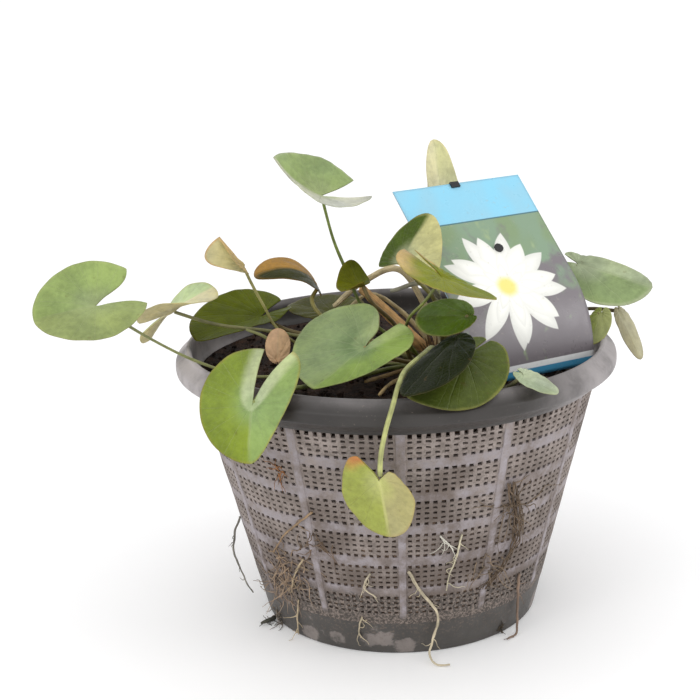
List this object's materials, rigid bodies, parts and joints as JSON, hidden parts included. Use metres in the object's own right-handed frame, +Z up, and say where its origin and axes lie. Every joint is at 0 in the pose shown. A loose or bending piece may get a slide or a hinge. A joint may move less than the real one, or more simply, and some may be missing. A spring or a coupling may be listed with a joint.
{
  "type": "potted water lily plant in a round mesh basket",
  "caption": "Water lily plant with round notched leaves on long petioles, rooted in soil in a tapered round mesh basket with a wide lip, with a plant label on a stake.",
  "frame": {"origin": "centre of the basket's flat base, on the surface that it stands on", "axes": "+Z up along the basket's axis, -Y towards the viewer in the picture, +X to the viewer's right"},
  "size_m": [0.2946, 0.231, 0.2369],
  "materials": {
    "basket_plastic": "matte moulded recycled plastic with dried silt",
    "soil": "dark damp pond soil with crumbs",
    "rootstock": "fibrous brown rootstock",
    "pad_far_left": "waxy leaf with fine veins",
    "pad_folded_left": "waxy leaf with fine veins",
    "pad_high": "waxy leaf with fine veins",
    "pad_over_rim": "waxy leaf with fine veins",
    "pad_front": "waxy leaf with fine veins",
    "leaf_hanging": "waxy leaf with fine veins",
    "leaf_small_tan": "waxy leaf with fine veins",
    "leaf_brown_arch": "waxy leaf with fine veins",
    "leaf_back_left": "waxy leaf with fine veins",
    "leaf_back_dark": "waxy leaf with fine veins",
    "leaf_olive_small": "waxy leaf with fine veins",
    "leaf_upright": "waxy leaf with fine veins",
    "leaf_yellow": "waxy leaf with fine veins",
    "leaf_glossy": "waxy leaf with fine veins",
    "leaf_dark": "waxy leaf with fine veins",
    "leaf_large_rim": "waxy leaf with fine veins",
    "leaf_rim_right": "waxy leaf with fine veins",
    "leaf_back_tall": "waxy leaf with fine veins",
    "leaf_right_large": "waxy leaf with fine veins",
    "leaf_right_olive": "waxy leaf with fine veins",
    "leaf_right_drooping": "waxy leaf with fine veins",
    "leaf_pink_small": "waxy leaf with fine veins",
    "old_stem": "dry ribbed fibre",
    "root": "thin dry root",
    "label_card": "smooth printed plastic sheet",
    "label_stake": "dark satin plastic"
  },
  "bodies": {
    "root": {"basket": "basket_plastic", "soil": "soil", "crown": "rootstock", "pad_far_left": "pad_far_left", "pad_folded_left": "pad_folded_left", "pad_high": "pad_high", "pad_over_rim": "pad_over_rim", "pad_front": "pad_front", "leaf_hanging": "leaf_hanging", "leaf_small_tan": "leaf_small_tan", "leaf_brown_arch": "leaf_brown_arch", "leaf_back_left": "leaf_back_left", "leaf_back_dark": "leaf_back_dark", "leaf_olive_small": "leaf_olive_small", "leaf_upright": "leaf_upright", "leaf_yellow": "leaf_yellow", "leaf_glossy": "leaf_glossy", "leaf_dark": "leaf_dark", "leaf_large_rim": "leaf_large_rim", "leaf_rim_right": "leaf_rim_right", "leaf_back_tall": "leaf_back_tall", "leaf_right_large": "leaf_right_large", "leaf_right_olive": "leaf_right_olive", "leaf_right_drooping": "leaf_right_drooping", "leaf_pink_small": "leaf_pink_small", "rolled_old_leaf": "old_stem", "old_stem_bent": "old_stem", "old_stem_low": "old_stem", "grey_stem": "old_stem", "short_stem_left": "old_stem", "short_stem_right": "old_stem", "young_stem": "old_stem", "root_left_free": "root", "root_left_floor": "root", "root_left_upper": "root", "root_left_middle": "root", "root_left_low": "root", "root_front_upper": "root", "root_front_low": "root", "root_front_long": "root", "root_white_short": "root", "root_white_long": "root", "root_right_dark": "root", "root_right_low": "root", "label_card": "label_card", "label_stake": "label_stake"}
  },
  "joints": []
}
